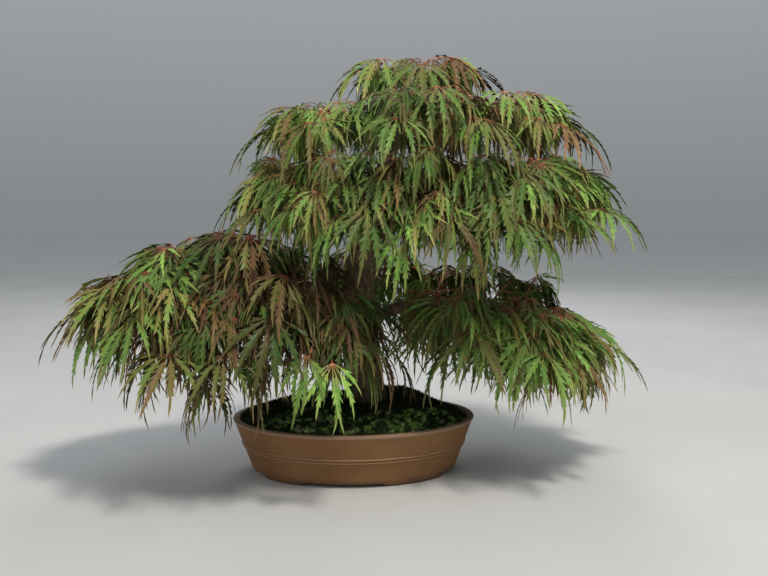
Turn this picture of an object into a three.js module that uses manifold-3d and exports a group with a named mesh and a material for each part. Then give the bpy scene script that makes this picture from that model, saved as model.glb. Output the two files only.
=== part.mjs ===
// Laceleaf Japanese maple bonsai, informal upright, in an unglazed oval pot.
// Millimetres, +Z up. The origin is the middle of the pot's base, on the surface it stands on.
// +X runs along the pot's long axis, and -Y is the side that the tree is seen from.
import * as THREE from 'three';
import { mergeVertices } from 'three/addons/utils/BufferGeometryUtils.js';
import Module from 'manifold-3d';

const wasm = await Module();
wasm.setup();

// Clearance that neighbouring pieces keep
const GAP = 0.3;

// Pot: an oval whose long half-axis is a fixed amount more than its short one at every height
const POT_HEIGHT = 80;
const POT_RIM_HALF_WIDTH = 132;
const POT_BASE_HALF_WIDTH = 103;
const OVAL_EXTRA_LENGTH = 46;
const OVAL_BLEND_RADIUS = 60;
const POT_WALL = 9;
const POT_FLOOR_BOTTOM = 6;
const POT_FLOOR_TOP = 14;
const FOOT_RING_WIDTH = 14;
const RIDGE_HEIGHTS = [38.5, 43];
const RIDGE_WIDTH = 1.8;
const RIDGE_PROUD = 1.2;
const LIP_HEIGHT = 5;
const LIP_PROUD = 1.2;
const OVAL_SEGMENTS = 30;

// Recesses that split the foot ring into four feet
const RECESS_HEIGHT = 4.5;
const FRONT_RECESS_CENTRE = -16;
const FRONT_RECESS_HALF_LENGTH = 54;
const END_RECESS_HALF_LENGTH = 52;
const RECESS_SLOPE = 5;

// Drainage holes and the mesh squares over them
const DRAIN_HOLE_RADIUS = 9;
const DRAIN_HOLE_X = 62;
const DRAIN_MESH_SIDE = 30;
const DRAIN_MESH_THICKNESS = 1;

// Soil mound and the moss on it
const MOUND_TOP = 107;
const MOSS_EDGE_HEIGHT = 79.5;
const MOSS_EDGE_DROP = 5;
const MOSS_DEPTH = 8;
const MOUND_POWER = 0.9;
const MOSS_LUMP = 1.6;
const MOSS_GAP = 0.8;

// Trunk: centreline points with their radii, from inside the soil to the apex
const TRUNK_POINTS = [
  [20, -8, 46], [19, -8, 80], [15, -6, 130], [9, -3, 200], [8, 0, 270],
  [18, 4, 340], [36, 4, 410], [58, 0, 480], [78, -4, 538],
];
const TRUNK_RADII = [40, 38, 28, 24, 23, 19, 14.5, 9.5, 5];
const TRUNK_SIDES = 10;
const TRUNK_SEGMENTS = 14;
const ROOT_COUNT = 5;
const ROOT_SWELL = 0.16;
const ROOT_FADE_HEIGHT = 190;

// Limbs: "at" is the place on the trunk, and "path" the points after it. Each spray has its place
// on the limb, the tip of its leader, and its number of leaves.
const LIMB_SIDES = 5;
const LIMB_SEGMENTS = 3;
const LIMB_END_RADIUS = 3.2;
const LIMBS = [
  {
    name: 'left_low', at: 0.43, radius: 15,
    path: [[-60, -20, 268], [-145, -36, 292], [-228, -46, 290], [-288, -52, 272]],
    sprays: [[1, [-336, -62, 247], 3], [0.86, [-276, -138, 236], 3], [0.7, [-232, -160, 190], 3],
      [0.5, [-166, -166, 186], 3], [0.32, [-98, -156, 236], 3], [0.72, [-258, -52, 306], 2],
      [0.45, [-168, -76, 338], 2], [0.78, [-322, 36, 226], 3], [0.66, [-250, 98, 206], 3],
      [0.42, [-160, 112, 226], 3], [0.58, [-206, 34, 326], 2]],
  },
  {
    name: 'right_low', at: 0.4, radius: 12,
    path: [[80, 8, 240], [160, 8, 238], [225, 4, 222], [268, 0, 202]],
    sprays: [[1, [346, 2, 178], 3], [0.88, [294, -78, 172], 3], [0.68, [244, -122, 182], 3],
      [0.42, [150, -112, 212], 2], [0.86, [328, 84, 150], 3], [0.64, [240, 124, 164], 3],
      [0.36, [140, 118, 196], 2]],
  },
  {
    name: 'front_left_low', at: 0.49, radius: 9,
    path: [[-16, -50, 268], [-34, -84, 250]],
    sprays: [[1, [-62, -128, 208], 3], [0.8, [-14, -142, 204], 2]],
  },
  {
    name: 'back_low', at: 0.47, radius: 9,
    path: [[32, 56, 286], [48, 96, 276]],
    sprays: [[1, [72, 164, 236], 3], [0.8, [-16, 148, 232], 2]],
  },
  {
    name: 'crown_front', at: 0.62, radius: 9,
    path: [[34, -46, 388], [52, -84, 410]],
    sprays: [[1, [102, -184, 366], 4], [0.85, [18, -174, 372], 3], [0.6, [-62, -140, 378], 3]],
  },
  {
    name: 'crown_back', at: 0.62, radius: 9,
    path: [[40, 50, 388], [60, 86, 410]],
    sprays: [[1, [104, 182, 366], 4], [0.85, [18, 172, 372], 4], [0.6, [-62, 142, 378], 3]],
  },
  {
    name: 'crown_left', at: 0.64, radius: 9,
    path: [[-28, -2, 402], [-70, -4, 424]],
    sprays: [[1, [-128, -4, 400], 3], [0.8, [-118, -78, 372], 3], [0.8, [-118, 74, 372], 3]],
  },
  {
    name: 'crown_right', at: 0.74, radius: 10,
    path: [[120, 2, 432], [205, 0, 444], [268, 0, 434]],
    sprays: [[1, [354, 0, 378], 3], [0.85, [322, -88, 372], 3], [0.8, [334, 88, 366], 3]],
  },
  {
    name: 'crown_front_right', at: 0.7, radius: 8,
    path: [[100, -54, 420], [166, -92, 426]],
    sprays: [[1, [268, -142, 364], 4], [0.75, [188, -176, 362], 4]],
  },
  {
    name: 'crown_back_right', at: 0.7, radius: 8,
    path: [[100, 58, 420], [166, 94, 426]],
    sprays: [[1, [268, 142, 364], 3], [0.75, [188, 174, 362], 3]],
  },
  {
    name: 'upper_left', at: 0.84, radius: 7,
    path: [[4, -4, 498], [-30, -6, 514]],
    sprays: [[1, [-92, -8, 491], 3], [0.7, [-50, -100, 486], 3], [0.7, [-50, 92, 486], 3]],
  },
  {
    name: 'upper_right', at: 0.88, radius: 7,
    path: [[135, -4, 520], [196, -4, 524]],
    sprays: [[1, [298, -4, 500], 3], [0.8, [262, -86, 486], 3], [0.8, [262, 80, 486], 3]],
  },
  {
    name: 'upper_front', at: 0.85, radius: 6,
    path: [[66, -40, 508], [82, -70, 524]],
    sprays: [[1, [152, -148, 486], 3], [0.8, [54, -158, 486], 3]],
  },
  {
    name: 'upper_back', at: 0.85, radius: 6,
    path: [[68, 36, 508], [86, 66, 524]],
    sprays: [[1, [154, 144, 486], 3], [0.8, [54, 152, 486], 3]],
  },
  {
    name: 'apex', at: 0.94, radius: 5.5,
    path: [[90, -4, 552], [98, -4, 566]],
    sprays: [[1, [152, -6, 576], 3], [0.6, [30, -2, 574], 3], [0.85, [92, -72, 568], 2],
      [0.85, [98, 62, 568], 2]],
  },
];

// Leader of a spray
const LEADER_RADII = [2.6, 1.5];
const LEADER_SIDES = 3;
const LEADER_SEGMENTS = 3;
const LEADER_ARCH = 0.2;

// Leaves on a leader: place along it, turn from its heading in degrees, and length of the stalk
const LEAF_SEATS = [[0.97, 0, 24], [0.62, 70, 42], [0.48, -70, 42], [0.34, 18, 44]];
const LEAF_REACH = 69;
const LEAF_REACH_VARIATION = 0.14;
const LEAF_TURN_VARIATION = 9;
const LEAF_PITCH = 24;
const LEAF_PITCH_VARIATION = 8;
const LEAF_ROLL_VARIATION = 12;
const LEAF_DROOP = 1;
const PETIOLE_RISE = 0.3;
const PETIOLE_HALF_WIDTH = 0.9;
const LEAF_SEED = 20817;

// Lobes of a leaf, cut almost to the stalk: direction in degrees and share of the leaf's reach
const MAIN_LOBES = [
  [-86, 0.55], [-52, 0.8], [-25, 0.95], [0, 1], [25, 0.95], [52, 0.8], [86, 0.55],
];
const SIDE_LOBES = [[-76, 0.64], [-36, 0.9], [0, 1], [36, 0.9], [76, 0.64]];
const NOTCH_RADIUS = 5;
const BACK_NOTCH_TURN = 130;
const LOBE_WIDEST_AT = 0.46;
const LOBE_HALF_WIDTH = 0.12;
const LEAF_HALF_THICKNESS = 0.9;

// Bends tried until a leaf is clear of everything before it: how much its stalk rises more, and
// turns and pitches in degrees
const BEND_LIFTS = [0, 0.4, -0.4, 0.8, -0.8];
const BEND_TURNS = [0, 14, -14, 28, -28];
const BEND_PITCHES = [0, -14, 14];
const BENDS = BEND_LIFTS.flatMap((lift) => (
  BEND_PITCHES.flatMap((pitch) => BEND_TURNS.map((turn) => ({ lift, pitch, turn })))
));
const LEAF_CLEARANCE = 0.5;

// Colours, roughness
const CLAY = new THREE.Color(0.4, 0.25, 0.17);
const SOIL_BROWN = new THREE.Color(0.13, 0.09, 0.06);
const MOSS_GREEN = new THREE.Color(0.12, 0.2, 0.05);
const BARK = new THREE.Color(0.3, 0.22, 0.16);
const MESH_BLACK = new THREE.Color(0.05, 0.05, 0.05);
const LEAF_COLOURS = [
  new THREE.Color(0.25, 0.33, 0.1),
  new THREE.Color(0.33, 0.42, 0.13),
  new THREE.Color(0.3, 0.22, 0.14),
  new THREE.Color(0.17, 0.25, 0.08),
];

const UP = new THREE.Vector3(0, 0, 1);
const radians = THREE.MathUtils.degToRad;

function vector(point) {
  return new THREE.Vector3(...point);
}

// A repeatable row of numbers from 0 to 1
function numberRow(seed) {
  let state = seed;
  return () => {
    state = (state * 16807) % 2147483647;
    return state / 2147483647;
  };
}

// Geometry to solid and back
function toSolid(geometry) {
  const bare = geometry.clone();
  bare.deleteAttribute('normal');
  bare.deleteAttribute('uv');
  const merged = mergeVertices(bare, 1e-4);
  const vertProperties = new Float32Array(merged.attributes.position.array);
  const triVerts = new Uint32Array(merged.index.array);
  return new wasm.Manifold(new wasm.Mesh({ numProp: 3, vertProperties, triVerts }));
}

function toGeometry(solid) {
  const mesh = solid.getMesh();
  const geometry = new THREE.BufferGeometry();
  const positions = new THREE.BufferAttribute(new Float32Array(mesh.vertProperties), 3);
  geometry.setAttribute('position', positions);
  geometry.setIndex(new THREE.BufferAttribute(new Uint32Array(mesh.triVerts), 1));
  geometry.computeVertexNormals();
  return geometry;
}

function closedSolid(points, faces) {
  const geometry = new THREE.BufferGeometry();
  const positions = points.flatMap((point) => [point.x, point.y, point.z]);
  geometry.setAttribute('position', new THREE.Float32BufferAttribute(positions, 3));
  geometry.setIndex(faces.flat());
  return toSolid(geometry);
}

// The largest body of a solid, without loose scraps or sealed hollows
function mainBody(solid) {
  const bodies = solid.decompose();
  bodies.sort((a, b) => b.volume() - a.volume());
  return bodies[0];
}

function pieceOf(name, geometry, colour, roughness) {
  const material = new THREE.MeshStandardMaterial({ color: colour, roughness, metalness: 0 });
  const piece = new THREE.Mesh(geometry, material);
  piece.name = name;
  return piece;
}

// A cylinder bent along a curve, with its radius given at each place and angle
function taperedTube(curve, radiusAt, sides, segments, grow = 0) {
  const tube = new THREE.CylinderGeometry(1, 1, 1, sides, segments);
  const position = tube.attributes.position;
  const whole = curve.getPoint(1).sub(curve.getPoint(0)).normalize();
  const side = Math.abs(whole.y) > 0.7 ? new THREE.Vector3(1, 0, 0) : new THREE.Vector3(0, 1, 0);
  const frames = [];
  for (let ring = 0; ring <= segments; ring += 1) {
    const place = ring / segments;
    const along = curve.getTangent(place);
    const across = side.clone().addScaledVector(along, -side.dot(along)).normalize();
    frames.push({ centre: curve.getPoint(place), along, across, third: along.clone().cross(across) });
  }
  for (let index = 0; index < position.count; index += 1) {
    const place = position.getY(index) + 0.5;
    const frame = frames[Math.round(place * segments)];
    const angle = Math.atan2(position.getZ(index), position.getX(index));
    const reach = Math.hypot(position.getX(index), position.getZ(index)) > 0.5 ? 1 : 0;
    const radius = (radiusAt(place, angle) + grow) * reach;
    const point = frame.centre.clone()
      .addScaledVector(frame.third, radius * Math.cos(angle))
      .addScaledVector(frame.across, radius * Math.sin(angle))
      .addScaledVector(frame.along, place === 1 ? grow : 0);
    position.setXYZ(index, point.x, point.y, point.z);
  }
  return toSolid(tube);
}

// Stretches a round lathe shape into the pot's oval
function toOval(geometry) {
  const position = geometry.attributes.position;
  for (let index = 0; index < position.count; index += 1) {
    const x = position.getX(index);
    const y = position.getY(index);
    const radius = Math.hypot(x, y);
    const share = radius > 0 ? x / radius : 0;
    const extra = OVAL_EXTRA_LENGTH * Math.min(1, radius / OVAL_BLEND_RADIUS);
    position.setX(index, x + extra * share);
  }
  return geometry;
}

function ovalLathe(profile, segments) {
  const points = profile.map(([radius, height]) => new THREE.Vector2(radius, height));
  const lathe = new THREE.LatheGeometry(points, segments);
  lathe.rotateX(Math.PI / 2);
  return toOval(lathe);
}

function wallRadius(height) {
  const slope = (POT_RIM_HALF_WIDTH - POT_BASE_HALF_WIDTH) / POT_HEIGHT;
  return POT_BASE_HALF_WIDTH + slope * height;
}

function potInsideRadius(height) {
  return wallRadius(height) - POT_WALL;
}

// Pot
function recessCutter(halfLength, depth) {
  const outline = new THREE.Shape();
  outline.moveTo(-halfLength - RECESS_SLOPE, -1);
  outline.lineTo(halfLength + RECESS_SLOPE, -1);
  outline.lineTo(halfLength, RECESS_HEIGHT);
  outline.lineTo(-halfLength, RECESS_HEIGHT);
  outline.closePath();
  const cutter = new THREE.ExtrudeGeometry(outline, { depth, bevelEnabled: false });
  cutter.translate(0, 0, -depth / 2);
  cutter.rotateX(Math.PI / 2);
  return cutter;
}

function makePot() {
  const ridgePoints = RIDGE_HEIGHTS.flatMap((height) => [
    [wallRadius(height - RIDGE_WIDTH), height - RIDGE_WIDTH],
    [wallRadius(height) + RIDGE_PROUD, height],
    [wallRadius(height + RIDGE_WIDTH), height + RIDGE_WIDTH],
  ]);
  const lipFoot = POT_HEIGHT - LIP_HEIGHT;
  const rimInside = POT_RIM_HALF_WIDTH - POT_WALL;
  const outside = [
    [0, POT_FLOOR_BOTTOM],
    [POT_BASE_HALF_WIDTH - FOOT_RING_WIDTH, POT_FLOOR_BOTTOM],
    [POT_BASE_HALF_WIDTH - FOOT_RING_WIDTH, 0],
    [POT_BASE_HALF_WIDTH - 1, 0],
    [wallRadius(1.5), 1.5],
    ...ridgePoints,
    [wallRadius(lipFoot), lipFoot],
    [wallRadius(lipFoot) + LIP_PROUD, lipFoot + 1],
    [POT_RIM_HALF_WIDTH, POT_HEIGHT - 1.2],
    [POT_RIM_HALF_WIDTH - 1.5, POT_HEIGHT],
    [rimInside + 1, POT_HEIGHT],
    [rimInside, POT_HEIGHT - 1.2],
    [potInsideRadius(POT_FLOOR_TOP), POT_FLOOR_TOP],
    [0, POT_FLOOR_TOP],
  ];
  let pot = toSolid(ovalLathe(outside, OVAL_SEGMENTS));
  const frontRecess = recessCutter(FRONT_RECESS_HALF_LENGTH, 2 * POT_RIM_HALF_WIDTH);
  frontRecess.translate(FRONT_RECESS_CENTRE, 0, 0);
  const endRecess = recessCutter(END_RECESS_HALF_LENGTH, 4 * POT_RIM_HALF_WIDTH);
  endRecess.rotateZ(Math.PI / 2);
  const cutters = [toSolid(frontRecess), toSolid(endRecess)];
  for (const x of [-DRAIN_HOLE_X, DRAIN_HOLE_X]) {
    const hole = new THREE.CylinderGeometry(DRAIN_HOLE_RADIUS, DRAIN_HOLE_RADIUS, 30, 16);
    hole.rotateX(Math.PI / 2);
    hole.translate(x, 0, POT_FLOOR_TOP - 5);
    cutters.push(toSolid(hole));
  }
  for (const cutter of cutters) {
    pot = pot.subtract(cutter);
  }
  return pot;
}

function makeDrainMesh(x) {
  const mesh = new THREE.BoxGeometry(DRAIN_MESH_SIDE, DRAIN_MESH_SIDE, DRAIN_MESH_THICKNESS);
  mesh.translate(x, 0, POT_FLOOR_TOP + GAP + DRAIN_MESH_THICKNESS / 2);
  return mesh;
}

// Soil and moss
function moundHeight(share, edge, top) {
  return edge + (top - edge) * (1 - share * share) ** MOUND_POWER;
}

function moundProfile(shares, radius, edge, top) {
  return shares.map((share) => [share * radius, moundHeight(share, edge, top)]);
}

function makeSoil() {
  const edge = MOSS_EDGE_HEIGHT - MOSS_DEPTH - MOSS_EDGE_DROP;
  const edgeRadius = potInsideRadius(edge) - 2 * GAP;
  const floorHeight = POT_FLOOR_TOP + DRAIN_MESH_THICKNESS + 2 * GAP;
  const profile = [
    [0, floorHeight],
    [potInsideRadius(POT_FLOOR_TOP) - 2 * GAP, floorHeight],
    ...moundProfile([1, 0.6, 0], edgeRadius, edge, MOUND_TOP - MOSS_DEPTH),
  ];
  return toSolid(ovalLathe(profile, OVAL_SEGMENTS));
}

// Raises the moss's upper face in low lumps and lets its edge sink to the right
function raiseMoss(geometry, radius) {
  const position = geometry.attributes.position;
  for (let index = 0; index < position.count; index += 1) {
    const [x, y, z] = [position.getX(index), position.getY(index), position.getZ(index)];
    const share = Math.min(1, Math.hypot(x / (radius + OVAL_EXTRA_LENGTH), y / radius));
    const underside = moundHeight(share, MOSS_EDGE_HEIGHT - MOSS_DEPTH, MOUND_TOP - MOSS_DEPTH);
    const isTop = z > underside + MOSS_DEPTH / 2;
    const lump = Math.sin(x * 0.13 + 1.3) * Math.sin(y * 0.16 + 0.4) + Math.sin(x * 0.07 - y * 0.11);
    const sink = MOSS_EDGE_DROP * share ** 3 * Math.max(0, x / (radius + OVAL_EXTRA_LENGTH));
    position.setZ(index, isTop ? z + MOSS_LUMP * lump - sink : z);
  }
  return geometry;
}

function makeMoss() {
  const edge = MOSS_EDGE_HEIGHT - MOSS_DEPTH - MOSS_EDGE_DROP + MOSS_GAP;
  const lowRadius = potInsideRadius(edge) - 2 * GAP;
  const lowestEdge = MOSS_EDGE_HEIGHT - MOSS_EDGE_DROP - 2 * MOSS_LUMP;
  const topRadius = potInsideRadius(lowestEdge) - 2 * GAP;
  const underShares = [0, 0.6, 1];
  const overShares = [1, 0.9, 0.72, 0.42, 0];
  const profile = [
    ...moundProfile(underShares, lowRadius, edge, MOUND_TOP - MOSS_DEPTH + MOSS_GAP),
    ...moundProfile(overShares, topRadius, MOSS_EDGE_HEIGHT, MOUND_TOP),
  ];
  return toSolid(raiseMoss(ovalLathe(profile, OVAL_SEGMENTS), topRadius));
}

// Trunk and limbs
const trunkCurve = new THREE.CatmullRomCurve3(TRUNK_POINTS.map(vector), false, 'catmullrom', 0.5);

function trunkRadius(place) {
  const step = place * (TRUNK_RADII.length - 1);
  const low = Math.min(Math.floor(step), TRUNK_RADII.length - 2);
  return THREE.MathUtils.lerp(TRUNK_RADII[low], TRUNK_RADII[low + 1], step - low);
}

function trunkRadiusAt(place, angle) {
  const height = trunkCurve.getPoint(place).z;
  const flare = Math.max(0, 1 - height / ROOT_FADE_HEIGHT);
  return trunkRadius(place) * (1 + ROOT_SWELL * flare * Math.cos(ROOT_COUNT * angle));
}

function limbCurve(limb) {
  const points = [trunkCurve.getPoint(limb.at), ...limb.path.map(vector)];
  return new THREE.CatmullRomCurve3(points, false, 'catmullrom', 0.5);
}

function makeWood(grow) {
  let wood = taperedTube(trunkCurve, trunkRadiusAt, TRUNK_SIDES, TRUNK_SEGMENTS, grow);
  for (const limb of LIMBS) {
    const radiusAt = (place) => THREE.MathUtils.lerp(limb.radius, LIMB_END_RADIUS, place ** 0.7);
    wood = wood.add(taperedTube(limbCurve(limb), radiusAt, LIMB_SIDES, LIMB_SEGMENTS, grow));
  }
  return wood;
}

// Sprays
function sprayList() {
  const sprays = [];
  for (const limb of LIMBS) {
    const curve = limbCurve(limb);
    limb.sprays.forEach(([place, tip, leafCount], index) => {
      const base = curve.getPoint(place);
      const end = vector(tip);
      const length = base.distanceTo(end);
      const heading = THREE.MathUtils.radToDeg(Math.atan2(end.y - base.y, end.x - base.x));
      const middle = base.clone().lerp(end, 0.55).addScaledVector(UP, 2 * LEADER_ARCH * length);
      sprays.push({
        name: `spray_${limb.name}_${index + 1}`,
        heading,
        leafCount,
        leader: new THREE.QuadraticBezierCurve3(base, middle, end),
        leaves: [],
      });
    });
  }
  const draw = numberRow(LEAF_SEED);
  const spread = (amount) => amount * (2 * draw() - 1);
  for (const spray of sprays) {
    for (const [place, turn, stalk] of LEAF_SEATS.slice(0, spray.leafCount)) {
      spray.leaves.push({
        foot: spray.leader.getPoint(place),
        stalk,
        rise: PETIOLE_RISE,
        isMain: turn === 0,
        heading: spray.heading + turn + spread(LEAF_TURN_VARIATION),
        pitch: LEAF_PITCH + spread(LEAF_PITCH_VARIATION),
        roll: spread(LEAF_ROLL_VARIATION),
        reach: LEAF_REACH * (1 + spread(LEAF_REACH_VARIATION)),
      });
    }
  }
  return sprays;
}

// One leaf with its stalk: a keeled blade cut into lobes, which arches down from the stalk's end.
// Its upper and lower faces meet at the outline, and each lobe has a raised rib above and below.
function leafSolid(leaf, stalkFrom = 0, grow = 0) {
  const lobes = leaf.isMain ? MAIN_LOBES : SIDE_LOBES;
  const heading = radians(leaf.heading);
  const pitch = radians(leaf.pitch);
  const roll = radians(leaf.roll);
  const out = new THREE.Vector3(Math.cos(heading), Math.sin(heading), 0);
  const forward = out.clone().multiplyScalar(Math.cos(pitch)).addScaledVector(UP, -Math.sin(pitch));
  const side = UP.clone().cross(out).applyAxisAngle(forward, roll);
  const normal = forward.clone().cross(side);
  const stalk = out.clone().addScaledVector(UP, leaf.rise).normalize();
  const hub = leaf.foot.clone().addScaledVector(stalk, leaf.stalk);
  const foot = leaf.foot.clone().addScaledVector(stalk, leaf.stalk * stalkFrom);
  const thickness = LEAF_HALF_THICKNESS + grow;

  const onBlade = (along, across, lift) => {
    const distance = Math.hypot(along, across);
    const fall = LEAF_DROOP * distance * distance / leaf.reach;
    const slope = 2 * LEAF_DROOP * along / leaf.reach;
    const lean = normal.clone().addScaledVector(out, slope).normalize();
    return hub.clone().addScaledVector(forward, along).addScaledVector(side, across)
      .addScaledVector(UP, -fall).addScaledVector(lean, lift);
  };
  const polar = (radius, degrees, offset = 0, lift = 0) => {
    const angle = radians(degrees);
    const along = radius * Math.cos(angle) - offset * Math.sin(angle);
    const across = radius * Math.sin(angle) + offset * Math.cos(angle);
    return onBlade(along, across, lift);
  };

  const points = [];
  const faces = [];
  const put = (point) => points.push(point) - 1;
  const top = put(polar(0, 0, 0, thickness));
  const bottom = put(polar(0, 0, 0, -thickness));
  const firstNotch = put(polar(NOTCH_RADIUS, -BACK_NOTCH_TURN));
  let notch = firstNotch;
  lobes.forEach(([turn, share], index) => {
    const reach = leaf.reach * share;
    const widest = reach * LOBE_WIDEST_AT;
    const halfWidth = leaf.reach * LOBE_HALF_WIDTH * Math.sqrt(share) + grow;
    const isLast = index === lobes.length - 1;
    const nextTurn = isLast ? BACK_NOTCH_TURN : (turn + lobes[index + 1][0]) / 2;
    const ribTop = put(polar(widest, turn, 0, thickness));
    const ribBottom = put(polar(widest, turn, 0, -thickness));
    const edge = [
      notch,
      put(polar(widest, turn, -halfWidth)),
      put(polar(reach, turn)),
      put(polar(widest, turn, halfWidth)),
      put(polar(NOTCH_RADIUS, nextTurn)),
    ];
    for (let step = 0; step < edge.length - 1; step += 1) {
      faces.push([ribTop, edge[step], edge[step + 1]], [ribBottom, edge[step + 1], edge[step]]);
    }
    notch = edge[edge.length - 1];
    faces.push([ribTop, top, edge[0]], [ribTop, notch, top]);
    faces.push([ribBottom, edge[0], bottom], [ribBottom, bottom, notch]);
  });

  const stalkEnd = [
    foot.clone().addScaledVector(normal, PETIOLE_HALF_WIDTH),
    foot.clone().addScaledVector(side, PETIOLE_HALF_WIDTH),
    foot.clone().addScaledVector(normal, -PETIOLE_HALF_WIDTH),
    foot.clone().addScaledVector(side, -PETIOLE_HALF_WIDTH),
  ].map(put);
  const stalkStart = [top, notch, bottom, firstNotch];
  for (let step = 0; step < 4; step += 1) {
    const next = (step + 1) % 4;
    faces.push([stalkStart[step], stalkStart[next], stalkEnd[next]]);
    faces.push([stalkStart[step], stalkEnd[next], stalkEnd[step]]);
  }
  faces.push([stalkEnd[0], stalkEnd[1], stalkEnd[2]], [stalkEnd[0], stalkEnd[2], stalkEnd[3]]);
  return closedSolid(points, faces);
}

function bentLeaf(leaf, bend) {
  return {
    ...leaf,
    rise: leaf.rise + bend.lift,
    heading: leaf.heading + bend.turn,
    pitch: leaf.pitch + bend.pitch,
  };
}

function boxOf(solid) {
  const { min, max } = solid.boundingBox();
  return new THREE.Box3(vector(min), vector(max));
}

// Leaves go on one after another, each bent until it is clear of all that is there before it
function growSprays(sprays, wood, others) {
  const taken = others.map((solid) => ({ solid, box: boxOf(solid) }));
  for (const spray of sprays) {
    const radiusAt = (place) => THREE.MathUtils.lerp(...LEADER_RADII, place);
    const leader = taperedTube(spray.leader, radiusAt, LEADER_SIDES, LEADER_SEGMENTS);
    spray.solid = mainBody(leader.subtract(wood));
    spray.box = boxOf(spray.solid);
  }
  const isClear = (leaf, spray) => {
    const whole = leafSolid(leaf, 0, LEAF_CLEARANCE);
    const blade = leafSolid(leaf, 0.6);
    const box = boxOf(whole);
    const rivals = sprays.filter((rival) => rival !== spray);
    return [...taken, ...rivals].every((thing) => {
      const probe = thing.owner === spray ? blade : whole;
      return !thing.box.intersectsBox(box) || thing.solid.intersect(probe).isEmpty();
    });
  };
  for (let index = 0; index < LEAF_SEATS.length; index += 1) {
    for (const spray of sprays.filter((one) => index < one.leafCount)) {
      const leaf = spray.leaves[index];
      const bent = BENDS.map((bend) => bentLeaf(leaf, bend)).find((one) => isClear(one, spray));
      if (bent) {
        const solid = leafSolid(bent);
        taken.push({ solid, box: boxOf(solid), owner: spray });
      }
    }
  }
  for (const { owner, solid } of taken.filter((thing) => thing.owner)) {
    owner.solid = owner.solid.add(solid);
  }
  return sprays.map((spray) => mainBody(spray.solid));
}

const maple = new THREE.Group();
const pot = makePot();
const wood = makeWood(0);
const clearWood = makeWood(GAP);
const moss = mainBody(makeMoss().subtract(clearWood));
const soil = mainBody(makeSoil().subtract(clearWood));
const sprays = sprayList();
const leafy = growSprays(sprays, clearWood, [clearWood, pot, moss]);

maple.add(pieceOf('pot', toGeometry(pot), CLAY, 0.75));
maple.add(pieceOf('drain_mesh_left', makeDrainMesh(-DRAIN_HOLE_X), MESH_BLACK, 0.6));
maple.add(pieceOf('drain_mesh_right', makeDrainMesh(DRAIN_HOLE_X), MESH_BLACK, 0.6));
maple.add(pieceOf('soil', toGeometry(soil), SOIL_BROWN, 0.95));
maple.add(pieceOf('moss', toGeometry(moss), MOSS_GREEN, 0.95));
maple.add(pieceOf('trunk', toGeometry(wood), BARK, 0.8));
leafy.forEach((solid, index) => {
  const colour = LEAF_COLOURS[index % LEAF_COLOURS.length];
  maple.add(pieceOf(sprays[index].name, toGeometry(solid), colour, 0.6));
});

export default maple;
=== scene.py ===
"""Looks of a laceleaf Japanese maple bonsai in an oval clay pot.

Lengths are in millimetres, as in the frame's own source, until a mesh is made in metres. The limbs,
the leaders of the sprays and their first leaves are grown by the same rules as the frame's solids.
"""

import math

import bpy
import numpy as np
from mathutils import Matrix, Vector, noise


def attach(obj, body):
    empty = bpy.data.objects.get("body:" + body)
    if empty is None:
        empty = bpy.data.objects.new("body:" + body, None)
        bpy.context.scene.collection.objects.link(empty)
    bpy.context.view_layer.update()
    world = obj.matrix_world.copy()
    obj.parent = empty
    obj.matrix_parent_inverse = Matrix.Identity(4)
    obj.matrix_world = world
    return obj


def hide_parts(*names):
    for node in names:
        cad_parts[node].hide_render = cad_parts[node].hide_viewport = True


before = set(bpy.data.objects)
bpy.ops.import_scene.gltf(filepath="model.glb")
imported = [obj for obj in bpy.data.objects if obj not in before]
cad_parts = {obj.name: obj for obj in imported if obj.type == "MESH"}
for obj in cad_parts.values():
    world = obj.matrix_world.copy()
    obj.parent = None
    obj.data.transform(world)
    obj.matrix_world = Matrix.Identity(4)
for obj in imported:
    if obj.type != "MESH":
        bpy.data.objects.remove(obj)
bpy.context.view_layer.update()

METRES = 0.001
UP = np.array([0.0, 0.0, 1.0])

# Pot: the long half-axis is a fixed amount more than the short one at every height
POT_HEIGHT = 80
POT_RIM_HALF_WIDTH = 132
POT_BASE_HALF_WIDTH = 103
OVAL_EXTRA_LENGTH = 46
OVAL_BLEND_RADIUS = 60
POT_WALL = 9
POT_FLOOR_BOTTOM = 6
POT_FLOOR_TOP = 14
FOOT_RING_WIDTH = 14
RIDGE_HEIGHTS = (38.5, 43)
RIDGE_WIDTH = 1.8
RIDGE_PROUD = 1.5
LIP_HEIGHT = 5
LIP_PROUD = 1.2
RECESS_HEIGHT = 4.5
FRONT_RECESS_CENTRE = -16
FRONT_RECESS_HALF_LENGTH = 54
END_RECESS_HALF_LENGTH = 52
RECESS_SLOPE = 5
DRAIN_HOLE_RADIUS = 9
DRAIN_HOLE_X = 62
POT_SEGMENTS = 200

# Half section of the pot: rounded edges, the corner inside the foot ring, and heights on the wall
EDGE_ROUNDING = 1.6
CORNER_ROUNDING = 1
FOOT_CORNER = ((-2, 0), (-0.6, -0.5), (0, -1.6), (0, -3.6))
LOW_WALL_HEIGHTS = (3, 4.5, 6.5, 10, 15, 21, 27, 32)
HIGH_WALL_HEIGHTS = (48, 55, 62, 68, 72, 74.4)
INSIDE_HEIGHTS = (76, 70, 60, 40, 20)
RIDGE_STEPS = 7
RIDGE_ROUNDNESS = 0.8
AXIS_RADIUS = 0.18

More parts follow.
